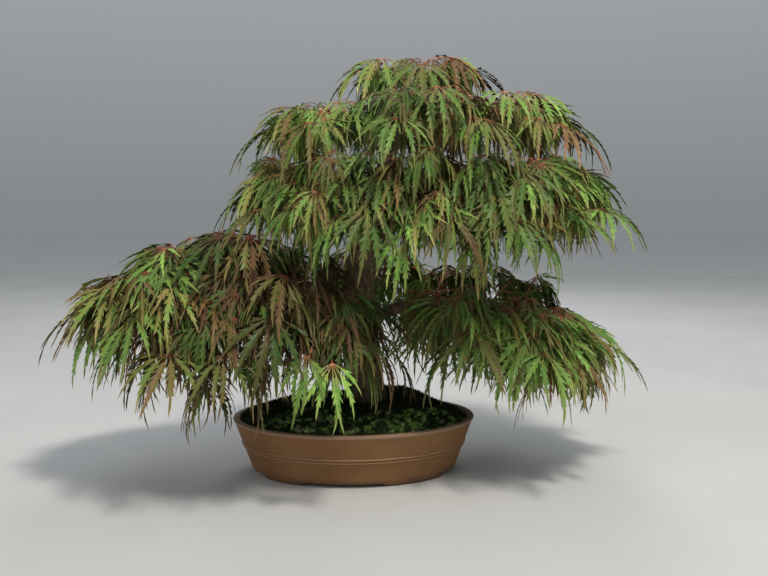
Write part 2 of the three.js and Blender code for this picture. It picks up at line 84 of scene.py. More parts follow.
# Moss: the mound, a hump on its right, and small cushions as height, waves a millimetre and start
MOUND_TOP = 107
MOSS_EDGE_HEIGHT = 79.5
MOSS_EDGE_DROP = 5
MOUND_POWER = 0.9
MOSS_LUMP = 1.6
MOUND_GAP = 1
MOSS_RINGS = 46
MOSS_SEGMENTS = 160
MOSS_HUMP = 11
MOSS_HUMP_PLACE = (68, 28)
MOSS_HUMP_SIZE = (50, 46)
MOSS_RING_SPREAD = 0.8
MOSS_GAP = 0.6
MOSS_SIDE_HEIGHT = 12
MOSS_UNDER_SHARE = 0.985
CUSHIONS = ((2.6, 0.055, (0, 0, 0)), (1.7, 0.16, (40, 7, 0)), (0.6, 0.45, (0, 0, 0)))
CUSHION_FADE = 0.5

# Tufts all over the moss, and larger ones in a band along its front rim: how many, their blades, the
# thickness of a blade, and the tone of its foot as a share of its tip's
TUFTS = ((3500, 6, 0.13, 0.2), (760, 8, 0.1, 0.85))
TUFT_SEED = 771
TUFT_SINK = 0.8
# Painted light on the tufts: they grow brighter towards the front, from this place over this distance
TUFT_PAINTED_LIGHT_FRONT = -40
TUFT_PAINTED_LIGHT_FADE = 50
RIM_ARC = (0.1, 0.7)
RIM_BAND = 0.42
RIM_CROWDING = 1.6
# Pitch of the patches of painted light on the tufts along the rim
PAINTED_LIGHT_PATCH_PITCH = 0.09

# Trunk
TRUNK_POINTS = np.array([
    (20, -8, 46), (19, -8, 80), (15, -6, 130), (9, -3, 200), (8, 0, 270),
    (18, 4, 340), (36, 4, 410), (58, 0, 480), (78, -4, 538),
], float)
TRUNK_RADII = (40, 38, 28, 24, 23, 19, 14.5, 9.5, 5)
ROOT_COUNT = 5
ROOT_SWELL = 0.16
ROOT_FADE_HEIGHT = 190
LIMB_END_RADIUS = 3.2
WOOD_VOXEL = 3.1
TRUNK_RINGS = 90
TRUNK_SIDES = 40
LIMB_RINGS = 12
LIMB_SIDES = 14
LIMB_TAPER = 0.7

# Bark: waves a millimetre and height of its furrows, knots and fine grain. It is full near the middle
# line of the trunk, and fades on the limbs and towards the top.
BARK_GRAINS = (Vector((0.16, 0.16, 0.028)), 0.035, Vector((0.5, 0.5, 0.12)))
FURROW_WIDTH = 0.18
FURROW_DEPTH = 1.3
KNOT_HEIGHT = 2.6
FINE_HEIGHT = 0.7
LEAST_BARK = 0.25
BARK_REACH = 46
BARK_FADE = 30
BARK_TOP = 600
BARK_FADE_HEIGHT = 500

# Limbs: name, place on the trunk, radius, points after it, and sprays as the place on the limb,
# the tip of the leader and the number of leaves that the frame's solid has
LIMBS = [
    ("left_low", 0.43, 15, [(-60, -20, 268), (-145, -36, 292), (-228, -46, 290), (-288, -52, 272)],
     [(1, (-336, -62, 247), 3), (0.86, (-276, -138, 236), 3), (0.7, (-232, -160, 190), 3),
      (0.5, (-166, -166, 186), 3), (0.32, (-98, -156, 236), 3), (0.72, (-258, -52, 306), 2),
      (0.45, (-168, -76, 338), 2), (0.78, (-322, 36, 226), 3), (0.66, (-250, 98, 206), 3),
      (0.42, (-160, 112, 226), 3), (0.58, (-206, 34, 326), 2)]),
    ("right_low", 0.4, 12, [(80, 8, 240), (160, 8, 238), (225, 4, 222), (268, 0, 202)],
     [(1, (346, 2, 178), 3), (0.88, (294, -78, 172), 3), (0.68, (244, -122, 182), 3),
      (0.42, (150, -112, 212), 2), (0.86, (328, 84, 150), 3), (0.64, (240, 124, 164), 3),
      (0.36, (140, 118, 196), 2)]),
    ("front_left_low", 0.49, 9, [(-16, -50, 268), (-34, -84, 250)],
     [(1, (-62, -128, 208), 3), (0.8, (-14, -142, 204), 2)]),
    ("back_low", 0.47, 9, [(32, 56, 286), (48, 96, 276)],
     [(1, (72, 164, 236), 3), (0.8, (-16, 148, 232), 2)]),
    ("crown_front", 0.62, 9, [(34, -46, 388), (52, -84, 410)],
     [(1, (102, -184, 366), 4), (0.85, (18, -174, 372), 3), (0.6, (-62, -140, 378), 3)]),
    ("crown_back", 0.62, 9, [(40, 50, 388), (60, 86, 410)],
     [(1, (104, 182, 366), 4), (0.85, (18, 172, 372), 4), (0.6, (-62, 142, 378), 3)]),
    ("crown_left", 0.64, 9, [(-28, -2, 402), (-70, -4, 424)],
     [(1, (-128, -4, 400), 3), (0.8, (-118, -78, 372), 3), (0.8, (-118, 74, 372), 3)]),
    ("crown_right", 0.74, 10, [(120, 2, 432), (205, 0, 444), (268, 0, 434)],
     [(1, (354, 0, 378), 3), (0.85, (322, -88, 372), 3), (0.8, (334, 88, 366), 3)]),
    ("crown_front_right", 0.7, 8, [(100, -54, 420), (166, -92, 426)],
     [(1, (268, -142, 364), 4), (0.75, (188, -176, 362), 4)]),
    ("crown_back_right", 0.7, 8, [(100, 58, 420), (166, 94, 426)],
     [(1, (268, 142, 364), 3), (0.75, (188, 174, 362), 3)]),
    ("upper_left", 0.84, 7, [(4, -4, 498), (-30, -6, 514)],
     [(1, (-92, -8, 491), 3), (0.7, (-50, -100, 486), 3), (0.7, (-50, 92, 486), 3)]),
    ("upper_right", 0.88, 7, [(135, -4, 520), (196, -4, 524)],
     [(1, (298, -4, 500), 3), (0.8, (262, -86, 486), 3), (0.8, (262, 80, 486), 3)]),
    ("upper_front", 0.85, 6, [(66, -40, 508), (82, -70, 524)],
     [(1, (152, -148, 486), 3), (0.8, (54, -158, 486), 3)]),
    ("upper_back", 0.85, 6, [(68, 36, 508), (86, 66, 524)],
     [(1, (154, 144, 486), 3), (0.8, (54, 152, 486), 3)]),
    ("apex", 0.94, 5.5, [(90, -4, 552), (98, -4, 566)],
     [(1, (152, -6, 576), 3), (0.6, (30, -2, 574), 3), (0.85, (92, -72, 568), 2),
      (0.85, (98, 62, 568), 2)]),
]

# Leaders and leaves that the frame's solids have too. A seat is a leaf's place on the leader, its turn
# from the heading and the length of its stalk.
LEADER_ARCH = 0.2
LEADER_MIDDLE = 0.55
LEAF_SEATS = [(0.97, 0, 24), (0.62, 70, 42), (0.48, -70, 42), (0.34, 18, 44)]
LEAF_LENGTH = 106
LEAF_LENGTH_RANGE = 0.14
LEAF_LENGTH_SHARES = {"left_low": 1, "right_low": 1, "back_low": 1, "front_left_low": 0.72}
CROWN_LENGTH_SHARE = 0.88
LEAF_TURN_RANGE = 9
LEAF_PITCH = 24
LEAF_PITCH_RANGE = 8
LEAF_ROLL_RANGE = 12
SEAT_LEAF = {"rise": 0.3, "bend": 56, "fan": 0.9, "plain": False, "tone": 0, "light": 0}
LEAF_SEED = 20817

# More leaves: pairs along each leader, and along a companion leader above it
PAIRS = 7
COMPANION_PAIRS = 6
COMPANION_RISES = {
    "left_low": 8, "right_low": 20, "front_left_low": 34, "back_low": 40, "crown_left": 40,
    "crown_right": 34, "upper_left": -4, "upper_right": 2, "upper_front": 20, "upper_back": 20,
}
CROWN_RISE = 58
RISE_RANGE = 20
COMPANION_REACH = (0.74, 0.18)
COMPANION_ARCH = 0.12
TRAIL_PAIRS = 3

# Wide and narrow pairs by turns, with their turn from the heading and the least rise of their stalks.
# Where a measure has two numbers, the second is how much more than the first it can be.
PAIR_KINDS = ((78, -0.05), (34, 0.3))
FIRST_PAIR = 0.12
PAIR_SPAN = 0.82
PAIR_CROWDING = 0.7
PAIR_RANGE = 0.04
PAIR_TURN_RANGE = 32
PAIR_ROLL_RANGE = 38
PAIR_STALK = (18, 12)
PAIR_STALK_AT_FOOT = 22
PAIR_RISE = 0.6
PAIR_PITCH = 38
PAIR_PITCH_AT_TIP = 26
PAIR_LENGTH = (70, 34)
PAIR_BEND = (32, 56)
PAIR_FAN = 0.74

# Drooping side shoot of each leader of a limb: where it starts on the leader, its reach as a share
# of the rest, and its drop
TRAILS = {
    "left_low": (0.62, 0.8, 48), "right_low": (0.62, 0.8, 40), "front_left_low": (0.62, 0.8, 40),
    "back_low": (0.62, 0.8, 40), "crown_front": (0.5, 0.85, 24), "crown_front_right": (0.5, 0.85, 24),
    "crown_left": (0.25, 0.42, 40), "crown_right": (0.3, 0.5, 40), "crown_back": (0.25, 0.42, 40),
    "crown_back_right": (0.25, 0.42, 40),
}

# More side shoots by spray, each with a leaf at its end: where one starts on the leader, its tip, its
# pairs of leaves, and the shifts in their tone and painted light
SHOOTS = {
    "front_left_low_1": [(0, (-60, -182, 196), 0, -0.6, 0.4), (0, (-31, -184, 187), 0, -0.6, 0.4)],
    "front_left_low_2": [(0.2, (16, -112, 196), 2, 0.35, -0.2), (0.4, (36, -92, 186), 0, 0.4, -0.3)],
    "left_low_4": [(0.3, (-186, -158, 240), 0, -0.15, 0.1)],
    "left_low_5": [(0, (-56, -60, 318), 3, 0.15, -0.3), (0.4, (-110, -150, 202), 0, 0.1, 0.4)],
    "left_low_10": [(0, (-108, 40, 322), 3, 0.0, -0.3)],
    "right_low_7": [(0, (150, 78, 284), 5, -0.2, -0.1)],
    "right_low_6": [(0, (246, 72, 268), 4, -0.2, -0.1)],
    "crown_front_1": [(0.4, (128, -170, 352), 2, -0.1, 0.1), (0.4, (60, -178, 350), 2, -0.1, 0.1)],
    "crown_front_2": [(0.4, (-22, -160, 356), 2, -0.1, 0.0)],
    "crown_front_right_2": [(0.4, (224, -160, 350), 2, -0.1, 0.1),
                            (0.4, (150, -170, 348), 2, -0.1, 0.1)],
}

# More of them in gaps of the crown and low down on the left, which draw from a row of their own
EDGE_SHOOTS = {
    "left_low_3": [(0.8, (-200, -152, 166), 1, 0.1, 0.1)],
    "left_low_4": [(0.8, (-179, -150, 160), 1, -0.1, 0.2)],
    "right_low_5": [(0, (286, 80, 272), 4, -0.3, -0.2)],
    "right_low_6": [(0, (200, 74, 288), 4, -0.2, -0.1)],
    "crown_left_1": [(0.2, (-112, -30, 424), 4, 0, 0)],
    "upper_back_1": [(0.3, (186, 62, 480), 4, -0.2, -0.2)],
    "upper_back_2": [(0.3, (94, 66, 478), 3, -0.2, -0.2)],
}
EDGE_SEED = 63
SHOOT_LEAF = {"stalk": 14, "rise": 0.3, "pitch": 45, "roll": 0, "length": 86, "bend": 55, "fan": 0.72,
              "plain": False}
CROWN_PAIRS_MORE = 1
APEX_PAIRS = 5
LEAF_SIZES = {
    "left_low": 1, "right_low": 1, "back_low": 1, "front_left_low": 0.8, "crown_front": 0.92,
    "crown_front_right": 0.92,
}
CROWN_LEAF_SIZE = 0.7
MORE_SEED = 4421
LEADER_RADII = (2.3, 1.1)
LEADER_SIDES = 7
SHOOT_ARCH = 0.14
LEADER_RINGS = 12
PETIOLE_RADII = (0.7, 0.5)
PETIOLE_SIDES = 3
PETIOLE_BOW = 0.1
PETIOLE_OVERLAP = 0.5

# Lobes of a leaf, as direction in degrees, share of the leaf's length and number of teeth a side
LOBES = [
    (-118, 0.34, 2), (-84, 0.6, 3), (-54, 0.82, 5), (-26, 0.96, 6), (0, 1, 7), (26, 0.96, 6),
    (54, 0.82, 5), (84, 0.6, 3), (118, 0.34, 2),
]
NOTCH_RADIUS = 0.025
BACK_NOTCH_TURN = 150
NINE_LOBED = 0.4
LOBE_HALF_WIDTH = 0.055
LOBE_RISE = 2.0
LOBE_FALL = 1.85
LOBE_TONE = 0.16
LOBE_TONE_WAVE = 1.7
SIDE_LOBE_DROOP = 0.002

# How far a lobe can differ in turn, share of the length, curve, droop and width
LOBE_RANGES = (8, 0.12, 0.18, 0.2, 0.18)

# Teeth, as places along the lobe. The cut before a tooth and the reach of its point are shares of the
# lobe's width there, and its sweep is a share of the gap between teeth.
FIRST_TOOTH = 0.2
LAST_TOOTH = 0.84
FURTHEST_TOOTH = 0.93
TOOTH_CUT = (0.34, 0.16)
TOOTH_REACH = (1.0, 0.42)
TOOTH_SWEEP = (0.15, 0.5)
RIB_DEPTH = 0.004
BLADE_FOLD = 0.35
TEMPLATE_COUNT = 12
PLAIN_TEMPLATE_COUNT = 5
PLAIN_BELOW = 0.45

# Slots of the sprays by turns, with their mean tone, 0 for bright green and 1 for purple brown, and
# their mean light, which is painted light and shade on the leaves. Then the shifts of both by spray or
# limb, and how far a leaf can be from them.
SLOTS = (("leaf_olive", 0.46, 0.55), ("leaf_bright", 0.26, 0.65), ("leaf_bronze", 0.6, 0.5),
         ("leaf_dark", 0.36, 0.35))
TONE_SHIFTS = {
    "left_low": 0.1, "left_low_4": 0.16, "left_low_5": 0.3, "left_low_7": -0.04, "left_low_11": -0.1,
    "front_left_low": 0.12, "back_low": -0.25, "right_low": -0.04, "right_low_4": -0.24,
    "right_low_6": -0.38, "right_low_7": -0.42, "crown_front": 0.05, "crown_front_1": -0.08,
    "crown_front_right": -0.17, "crown_left": 0.05, "crown_left_1": -0.07, "crown_right": -0.13,
    "upper_left": -0.13, "upper_right": 0.03, "upper_front": 0.14, "upper_back": -0.06,
}
TONE_RANGE = 0.38
LIGHT_RANGE = 0.46
GREENEST = 0.12
LIGHT_SHIFTS = {
    "left_low": -0.3, "left_low_1": 0.06, "left_low_2": -0.18, "left_low_5": -0.6, "left_low_6": -0.1,
    "left_low_7": -0.5, "front_left_low": -0.28, "front_left_low_2": -0.4, "back_low": 0.15,
    "right_low": 0.06, "right_low_2": 0.25, "right_low_4": -0.08, "crown_front": -0.14,
    "crown_front_1": 0.02, "crown_front_right_2": -0.14, "crown_left_1": 0.2, "crown_left_2": -0.1,
    "crown_right_1": 0.25, "upper_left": 0.2, "upper_right": -0.12, "upper_front": -0.08,
    "upper_front_2": -0.5, "upper_back": 0.12,
}
LEAF_FINISH, PETIOLE_FINISH, TWIG_FINISH = range(3)

# Lights with their place and size in metres, power and colour, and the camera's tilt down and turn in
# degrees. The world is as bright at the horizon as the far floor.
WORLD_LOW = (0.232, 0.243, 0.25)
WORLD_HIGH = (0.5, 0.53, 0.55)
LIGHT_AIM = (0, 0, 0.3)
LIGHTS = {
    "key": ((0.7, -1.3, 2.75), 0.5, 76, (1, 0.95, 0.85)),
    "fill": ((-2.1, -1.6, 1.1), 1.8, 13, (0.98, 0.98, 1)),
    "back": ((0.3, 2.2, 1.9), 1.4, 22, (0.95, 0.97, 1)),
}
CAMERA_TILT = 5.143
CAMERA_TURN = -3.087


def add_object(name, data):
    added = bpy.data.objects.new(name, data)
    bpy.context.collection.objects.link(added)
    return added


def set_values(mesh, name, values):
    attribute = mesh.attributes.new(name, "FLOAT", "POINT")
    attribute.data.foreach_set("value", values.astype(np.float32))


class Parts:
    """Collects pieces of one mesh, with a material number for each face and values for shading."""

    def __init__(self):
        self.points, self.faces, self.materials = [], [], []
        self.values = {}
        self.count = 0

    def add(self, points, faces, material=0, **values):
        points = np.asarray(points, float)
        faces = np.asarray(faces, int)
        self.points.append(points)
        self.faces.append(faces + self.count)
        self.materials.append(np.full(len(faces), material))
        for name in {**self.values, **values}:
            done = self.values.setdefault(name, [np.zeros(self.count)] if self.count else [])
            value = values.get(name, 0.0)
            done.append(np.full(len(points), value) if np.isscalar(value) else value)
        self.count += len(points)

    def make(self, name, *materials, smooth=0):
        """Makes the piece. smooth is how many of its faces, from the first on, are smooth."""
        points = np.concatenate(self.points) * METRES
        faces = np.concatenate(self.faces)
        mesh = bpy.data.meshes.new(name)
        mesh.from_pydata(points.tolist(), [], faces.tolist())
        mesh.polygons.foreach_set("material_index", np.concatenate(self.materials).astype(np.int32))
        mesh.polygons.foreach_set("use_smooth", np.arange(len(faces)) < smooth)
        for key, done in self.values.items():
            set_values(mesh, key, np.concatenate(done))
        for material in materials:
            mesh.materials.append(material)
        mesh.update()
        return add_object(name, mesh)


def dress(piece, slot, *nodes):
    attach(piece, "root")
    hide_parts(*nodes)


def number_row(seed):
    """A repeatable row of numbers from 0 to 1, the same one that the frame's leaves are drawn from."""
    state = seed

    def draw():
        nonlocal state
        state = (state * 16807) % 2147483647
        return state / 2147483647

    return draw


def spread(draw, amount):
    """A drawn number from -amount to amount."""
    return amount * (2 * draw() - 1)


def between(draw, least, more):
    """A drawn number that is least or up to more above it."""
    return least + more * draw()


def clip(value, low=0):
    return min(1, max(low, value))


def unit(vector):
    return vector / np.linalg.norm(vector)


def curve_point(points, place):
    """A point on the smooth curve through evenly timed points, place 0 to 1."""
    last = len(points) - 1
    index = min(int(place * last), last - 1)
    weight = place * last - index
    before = points[index - 1] if index > 0 else 2 * points[0] - points[1]
    start, end = points[index], points[index + 1]
    after = points[index + 2] if index + 2 <= last else 2 * points[last] - points[last - 1]
    square = 2 * before - 5 * start + 4 * end - after
    cube = 3 * start - before - 3 * end + after
    return start + 0.5 * ((end - before) * weight + square * weight**2 + cube * weight**3)


def along_curve(points, count):
    return [curve_point(points, place) for place in np.linspace(0, 1, count)]


def leader_point(leader, place):
    base, middle, end = leader
    return base * (1 - place) ** 2 + middle * 2 * place * (1 - place) + end * place**2


def round_angles(count):
    return np.arange(count) * 2 * math.pi / count


def loft_faces(rings, sides):
    """Faces of a closed surface, whose points are rings from end to end and then the two ends."""
    faces = []
    last = (rings - 1) * sides
    start, end = last + sides, last + sides + 1
    for one in range(sides):
        two = (one + 1) % sides
        for low in range(0, last, sides):
            high = low + sides
            faces += [(low + one, high + two, low + two), (low + one, high + one, high + two)]
        faces += [(start, one, two), (end, last + two, last + one)]
    return faces


def tube(centres, radius_at, sides):
    """A closed tube along centres. radius_at takes a place 0 to 1 and the angles round it."""
    centres = np.asarray(centres, float)
    whole = unit(centres[-1] - centres[0])
    side = np.array([1.0, 0, 0]) if abs(whole[1]) > 0.7 else np.array([0, 1.0, 0])
    along = np.gradient(centres, axis=0)
    angles = round_angles(sides)
    rings = []
    for index, centre in enumerate(centres):
        direction = unit(along[index])
        across = unit(side - direction * side.dot(direction))
        third = np.cross(direction, across)
        radius = radius_at(index / (len(centres) - 1), angles)
        round_it = np.outer(np.cos(angles), third) + np.outer(np.sin(angles), across)
        rings.append(centre + round_it * np.reshape(radius, (-1, 1)))
    points = np.concatenate([*rings, centres[:1], centres[-1:]])
    return points, loft_faces(len(centres), sides)


def add_stalk(parts, centres, radii, sides, finish):
    """A stalk that gets thinner along centres, with a value for how far along it a point is."""
    thick, thin = radii
    points, faces = tube(centres, lambda place, angles: thick + (thin - thick) * place, sides)
    along = np.repeat(np.linspace(0, 1, len(centres)), sides)
    parts.add(points, faces, finish, along=np.append(along, [0, 1]))


# Materials
class Nodes:
    """The nodes of a material or a world, with short ways to add to them."""

    def __init__(self, owner, shader, place):
        owner.use_nodes = True
        self.tree = owner.node_tree
        self.shader = self.tree.nodes[shader]
        self.place = self.add("ShaderNodeTexCoord").outputs[place]

    def add(self, kind, **sockets):
        node = self.tree.nodes.new(kind)
        for name, value in sockets.items():
            self.put(node.inputs[name.replace("_", " ")], value)
        return node

    def put(self, socket, value):
        if isinstance(value, bpy.types.NodeSocket):
            self.tree.links.new(value, socket)
        else:
            socket.default_value = value

    def noise(self, scale, detail, stretch=None, distortion=0):
        place = self.place
        if stretch:
            place = self.add("ShaderNodeMapping", Vector=place, Scale=stretch).outputs[0]
        node = self.add("ShaderNodeTexNoise", Vector=place, Scale=scale, Detail=detail,
                        Distortion=distortion)
        return node.outputs["Fac"]

    def height(self):
        return self.add("ShaderNodeSeparateXYZ", Vector=self.place).outputs["Z"]

    def value(self, name):
        node = self.add("ShaderNodeAttribute")
        node.attribute_name = name
        return node.outputs["Fac"]

    def ramp(self, factor, *stops):
        """stops are (position, colour), with a number for grey."""
        node = self.add("ShaderNodeValToRGB", Fac=factor)
        ramp = node.color_ramp
        while len(ramp.elements) < len(stops):
            ramp.elements.new(0.5)
        for element, (position, colour) in zip(ramp.elements, stops):
            element.position = position
            colour = (colour,) * 3 if np.isscalar(colour) else colour
            element.color = (*colour, 1)
        return node.outputs["Color"]

    def mix(self, factor, one, two, kind="MIX"):
        node = self.add("ShaderNodeMix")
        node.data_type = "RGBA"
        node.blend_type = kind
        node.clamp_factor = True
        self.put(node.inputs["Factor"], factor)
        for socket, value in ((node.inputs[6], one), (node.inputs[7], two)):
            self.put(socket, (*value, 1) if isinstance(value, tuple) else value)
        return node.outputs[2]

    def math(self, operation, one, two):
        node = self.add("ShaderNodeMath")
        node.operation = operation
        self.put(node.inputs[0], one)
        self.put(node.inputs[1], two)
        return node.outputs[0]


class Finish(Nodes):
    """A material of one shader, whose colour is laid on in coats."""

    def __init__(self, name, roughness, specular):
        self.material = bpy.data.materials.new(name)
        super().__init__(self.material, "Principled BSDF", "Object")
        self.set("Roughness", roughness)
        self.set("Specular IOR Level", specular)

    def set(self, name, value):
        self.put(self.shader.inputs[name], value)

    def colour(self, colour):
        self.base = colour
        self.set("Base Color", colour)

    def coat(self, colour, factor, *stops):
        """Lays colour over the one so far, as strongly as factor says, or a ramp of it with stops."""
        self.colour(self.mix(self.ramp(factor, *stops) if stops else factor, self.base, colour))

    def bump(self, height, strength, distance):
        node = self.add("ShaderNodeBump", Height=height, Strength=strength, Distance=distance)
        self.set("Normal", node.outputs[0])


def clay_material():
    clay = Finish("pot_clay", 0.75, 0.2)
    blotch = clay.noise(9, 5)
    grain = clay.noise(420, 3)
    wipe = clay.noise(30, 4, stretch=(0.3, 0.3, 1.6))
    clay.colour(clay.ramp(blotch, (0.3, (0.19, 0.09, 0.035)), (0.7, (0.275, 0.143, 0.058))))
    clay.coat((0.27, 0.15, 0.085), wipe, (0.42, 0), (0.75, 0.35))
    clay.coat((0.07, 0.035, 0.022), grain, (0.58, 0), (0.74, 0.45))
    # Bands by height, in tenths of a metre: painted highlights on the crests of the ridges, painted
    # shade in the grooves below them, the lip and the stained foot
    height = clay.math("MULTIPLY", clay.height(), 10)
    # Painted highlight along the crest of each ridge
    clay.coat((0.42, 0.27, 0.17), height, (0.37, 0), (0.388, 0.5), (0.4, 0), (0.415, 0),
              (0.433, 0.5), (0.446, 0))
    # Painted shade in the groove below each ridge
    clay.coat((0.09, 0.045, 0.025), height, (0.354, 0), (0.366, 0.55), (0.374, 0), (0.4, 0),
              (0.408, 0.55), (0.417, 0))
    clay.coat((0.34, 0.23, 0.165), height, (0.748, 0), (0.76, 0.6))
    stain = clay.math("ADD", height, clay.math("MULTIPLY", clay.noise(24, 5), 0.2))
    clay.coat((0.06, 0.035, 0.024), stain, (0.13, 0.5), (0.24, 0))
    clay.set("Roughness", clay.ramp(blotch, (0.3, 0.62), (0.7, 0.82)))
    clay.bump(clay.mix(0.4, grain, wipe), 0.35, 0.0012)
    return clay.material


def soil_material():
    soil = Finish("soil", 0.95, 0.2)
    crumb = soil.noise(260, 6)
    soil.colour(soil.ramp(crumb, (0.35, (0.012, 0.008, 0.005)), (0.7, (0.05, 0.03, 0.018))))
    soil.bump(crumb, 0.8, 0.003)
    return soil.material


def mesh_material():
    net = Finish("drain_mesh", 0.5, 0.4)
    lines = net.add("ShaderNodeTexChecker", Vector=net.place, Scale=900.0).outputs["Fac"]
    net.colour(net.ramp(lines, (0.2, (0.01, 0.01, 0.011)), (0.8, (0.03, 0.03, 0.032))))
    net.bump(lines, 0.6, 0.0005)
    return net.material


def moss_material():
    moss = Finish("moss", 0.9, 0.25)
    fleck = moss.noise(300, 3)
    # The carpet's colour, made very dark in part as painted shade under the crown
    moss.colour(moss.ramp(moss.noise(22, 5), (0.34, (0.006, 0.01, 0.002)),
                          (0.52, (0.012, 0.021, 0.004)), (0.72, (0.026, 0.045, 0.008))))
    moss.coat((0.03, 0.045, 0.01), fleck, (0.5, 0), (0.75, 0.5))
    # The tufts' bright green, laid on as far as their tip value says: lighter tips, brighter as painted
    # light towards the front and in patches along the rim
    tip = moss.ramp(moss.noise(60, 3), (0.4, (0.36, 0.8, 0.12)), (0.62, (0.85, 0.9, 0.5)))
    moss.coat(tip, moss.value("tip"))
    moss.bump(fleck, 0.7, 0.002)
    return moss.material


def bark_material():
    bark = Finish("bark", 0.85, 0.25)
    streak = bark.noise(120, 5, stretch=(1, 1, 0.22), distortion=0.4)
    bark.colour(bark.ramp(streak, (0.32, (0.11, 0.072, 0.042)), (0.55, (0.24, 0.165, 0.1)),
                          (0.75, (0.36, 0.27, 0.18))))
    bark.coat((0.27, 0.25, 0.18), bark.noise(18, 6), (0.5, 0), (0.7, 0.55))
    bark.coat((0.1, 0.11, 0.05), bark.noise(60, 5), (0.6, 0), (0.7, 0.5))
    # Painted shade in the furrows of the bark
    bark.coat((0.03, 0.018, 0.012), bark.value("furrow_shade"))
    # Darker green-brown low on the trunk, partly moss and partly painted shade at its base
    moss_and_painted_shade = bark.math("ADD", bark.height(), bark.math("MULTIPLY", bark.noise(30, 5), 0.08))
    bark.coat((0.03, 0.032, 0.012), moss_and_painted_shade, (0.15, 0.8), (0.22, 0))
    bark.bump(streak, 0.7, 0.003)
    return bark.material


def twig_material():
    twig = Finish("twig", 0.6, 0.4)
    fleck = twig.noise(240, 4)
    twig.colour(twig.ramp(fleck, (0.4, (0.11, 0.06, 0.04)), (0.65, (0.2, 0.12, 0.08))))
    young = twig.ramp(fleck, (0.4, (0.33, 0.11, 0.06)), (0.65, (0.5, 0.21, 0.12)))
    twig.coat(young, twig.value("along"))
    twig.bump(fleck, 0.4, 0.0008)
    return twig.material


def petiole_material():
    petiole = Finish("petiole", 0.5, 0.4)
    fleck = petiole.noise(180, 3)
    red = petiole.ramp(fleck, (0.38, (0.36, 0.1, 0.055)), (0.64, (0.62, 0.24, 0.13)))
    petiole.colour(petiole.mix(petiole.value("along"), (0.38, 0.2, 0.09), red))
    petiole.bump(fleck, 0.2, 0.0004)
    return petiole.material


def leaf_material():
    """tone picks a leaf's colour, light its painted light and shade, along runs from stalk to tip."""
    leaf = Finish("leaf", 0.5, 0.17)
    along, rib = leaf.value("along"), leaf.value("rib")
    tone, light = leaf.value("tone"), leaf.value("light")
    blotch = leaf.noise(90, 4)
    shifted = leaf.math("ADD", tone, leaf.math("MULTIPLY", leaf.math("SUBTRACT", blotch, 0.5), 0.95))
    leaf.colour(leaf.ramp(
        shifted,
        (0, (0.17, 0.31, 0.055)), (0.2, (0.076, 0.2, 0.032)), (0.42, (0.092, 0.176, 0.03)),
        (0.62, (0.136, 0.146, 0.032)), (0.82, (0.148, 0.096, 0.034)), (1, (0.118, 0.058, 0.028)),
    ))
    tan = leaf.mix(tone, (0.3, 0.35, 0.11), (0.34, 0.18, 0.09))
    leaf.coat(tan, rib, (0, 0.5), (0.28, 0))
    leaf.coat(tan, along, (0.62, 0), (0.95, 0.85))
    leaf.coat((0.2, 0.125, 0.06), along, (0.12, 0.7), (0.4, 0))
    leaf.coat((0.28, 0.05, 0.035), along, (0.04, 0.95), (0.16, 0))
    leaf.coat(leaf.mix(tone, (0.27, 0.27, 0.08), (0.2, 0.08, 0.04)), rib, (0.62, 0), (1, 0.65))
    # Painted light and shade: the light value brightens some leaves and darkens others
    leaf.colour(leaf.mix(1, leaf.base, leaf.ramp(light, (0, 0.38), (1, 1.56)), "MULTIPLY"))
    leaf.set("Roughness", leaf.ramp(blotch, (0.35, 0.42), (0.65, 0.58)))
    leaf.bump(leaf.noise(600, 3), 0.25, 0.0004)
    return leaf.material


# Pot
def wall_radius(height):
    slope = (POT_RIM_HALF_WIDTH - POT_BASE_HALF_WIDTH) / POT_HEIGHT
    return POT_BASE_HALF_WIDTH + slope * height


def arc(centre, radius, start, end, steps):
    angles = np.radians(np.linspace(start, end, steps))
    return [(centre[0] + radius * math.cos(a), centre[1] + radius * math.sin(a)) for a in angles]


def on_wall(heights, depth=0):
    return [(wall_radius(height) - depth, height) for height in heights]


def ridge(middle):
    """Half section of one of the fine ridges round the wall."""
    for step in np.linspace(-1, 1, RIDGE_STEPS):
        height = middle + step * RIDGE_WIDTH
        proud = RIDGE_PROUD * abs(math.cos(step * math.pi / 2)) ** RIDGE_ROUNDNESS
        yield wall_radius(height) + proud, height


def pot_profile():
    """Half section from the middle of the underside round the rim to the middle of the floor."""
    inner_foot = POT_BASE_HALF_WIDTH - FOOT_RING_WIDTH
    lip_foot = POT_HEIGHT - LIP_HEIGHT
    rim, edge, corner = POT_RIM_HALF_WIDTH, EDGE_ROUNDING, CORNER_ROUNDING
    return [
        (AXIS_RADIUS, POT_FLOOR_BOTTOM), (inner_foot / 2, POT_FLOOR_BOTTOM),
        *((inner_foot + out, POT_FLOOR_BOTTOM + up) for out, up in FOOT_CORNER),
        *arc((inner_foot + corner, corner), corner, 180, 270, 4),
        (inner_foot + 5, 0), (inner_foot + 9, 0),
        *arc((POT_BASE_HALF_WIDTH - edge, edge), edge, 270, 350, 5),
        *on_wall(LOW_WALL_HEIGHTS),
        *(point for height in RIDGE_HEIGHTS for point in ridge(height)),
        *on_wall(HIGH_WALL_HEIGHTS),
        *arc((wall_radius(lip_foot) + LIP_PROUD - corner, lip_foot + corner), corner, -60, 0, 3),
        (rim + 0.1, lip_foot + 2.6),
        *arc((rim - edge, POT_HEIGHT - edge), edge, 0, 90, 5),
        (rim - POT_WALL / 2, POT_HEIGHT),
        *arc((rim - POT_WALL + edge, POT_HEIGHT - edge), edge, 90, 180, 5),
        *on_wall(INSIDE_HEIGHTS, POT_WALL),
        (wall_radius(POT_FLOOR_TOP) - POT_WALL - 3, POT_FLOOR_TOP),
        (inner_foot / 2, POT_FLOOR_TOP), (AXIS_RADIUS, POT_FLOOR_TOP),
    ]


